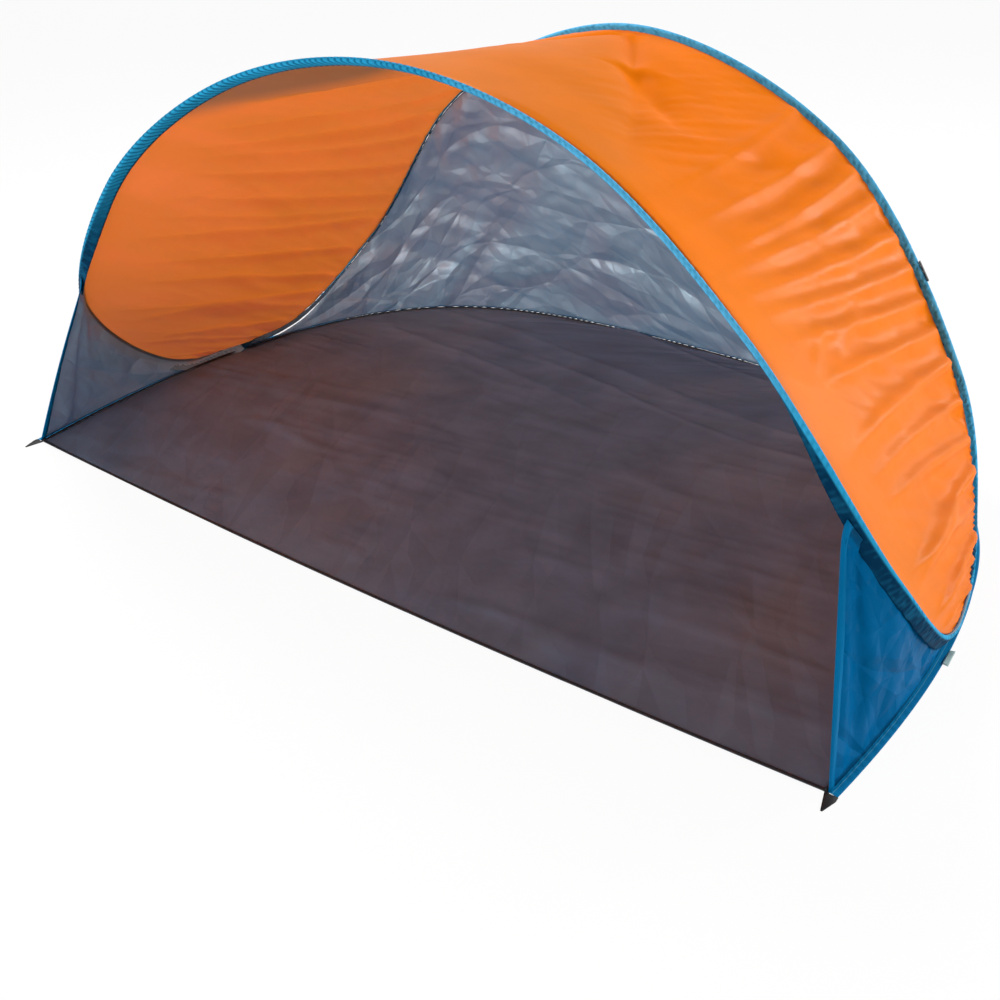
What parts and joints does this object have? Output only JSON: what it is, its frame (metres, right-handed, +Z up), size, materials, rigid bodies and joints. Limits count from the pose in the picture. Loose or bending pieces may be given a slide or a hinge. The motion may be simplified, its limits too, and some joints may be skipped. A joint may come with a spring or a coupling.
{
  "type": "pop-up beach shelter",
  "caption": "Pop-up beach shelter: a closed spring-wire hoop bent into two arches carries a canopy, rear and side walls and a sewn-in ground sheet, open at the front",
  "frame": {"origin": "On the ground under the flat ground sheet, half way along the line between the two low turns of the hoop, which is the line the shelter folds about", "axes": "X runs along the open front, Y from the open front to the back, Z up"},
  "size_m": [2.0146, 1.3066, 0.9052],
  "materials": {
    "canopy_cloth": "orange coated polyester, softly glossy",
    "wall_cloth": "blue coated polyester, silver-grey inside",
    "sleeve_cloth": "light blue polyester, gathered along its seam",
    "floor_cloth": "dark grey coated ground cloth",
    "tape": "black binding tape",
    "webbing": "black ribbed webbing",
    "tag": "white satin ribbon, blank",
    "spring_steel": "drawn spring wire"
  },
  "bodies": {
    "rear_shell": {"hoop_rear": "spring_steel", "hoop_turn_left": "spring_steel", "hoop_turn_right": "spring_steel", "hoop_ferrule": "spring_steel", "sleeve_rear": "sleeve_cloth", "sleeve_turn_left": "sleeve_cloth", "sleeve_turn_right": "sleeve_cloth", "canopy": "canopy_cloth", "rear_wall": "wall_cloth", "ground_sheet": "floor_cloth", "floor_binding": "tape", "skirt_rear": "sleeve_cloth", "guy_tab_left": "webbing", "guy_tab_right": "webbing", "care_tag": "tag"},
    "front_shell": {"hoop_front": "spring_steel", "sleeve_front": "sleeve_cloth", "side_wall_left": "wall_cloth", "side_wall_right": "wall_cloth", "side_hem_left": "wall_cloth", "side_hem_right": "wall_cloth", "skirt_left": "sleeve_cloth", "skirt_right": "sleeve_cloth", "floor_front_hem": "floor_cloth", "corner_tab_left": "webbing", "corner_tab_right": "webbing"}
  },
  "joints": [
    {"name": "shell_fold", "type": "hinge", "parent": "rear_shell", "child": "front_shell", "pos_m": [0, 0, 0.02], "axis": [-1, 0, 0], "range_deg": [0, 45], "deforming": ["canopy", "ground_sheet", "floor_binding", "hoop_turn_left", "hoop_turn_right", "sleeve_turn_left", "sleeve_turn_right", "side_wall_left", "side_wall_right", "skirt_left", "skirt_right"]}
  ]
}
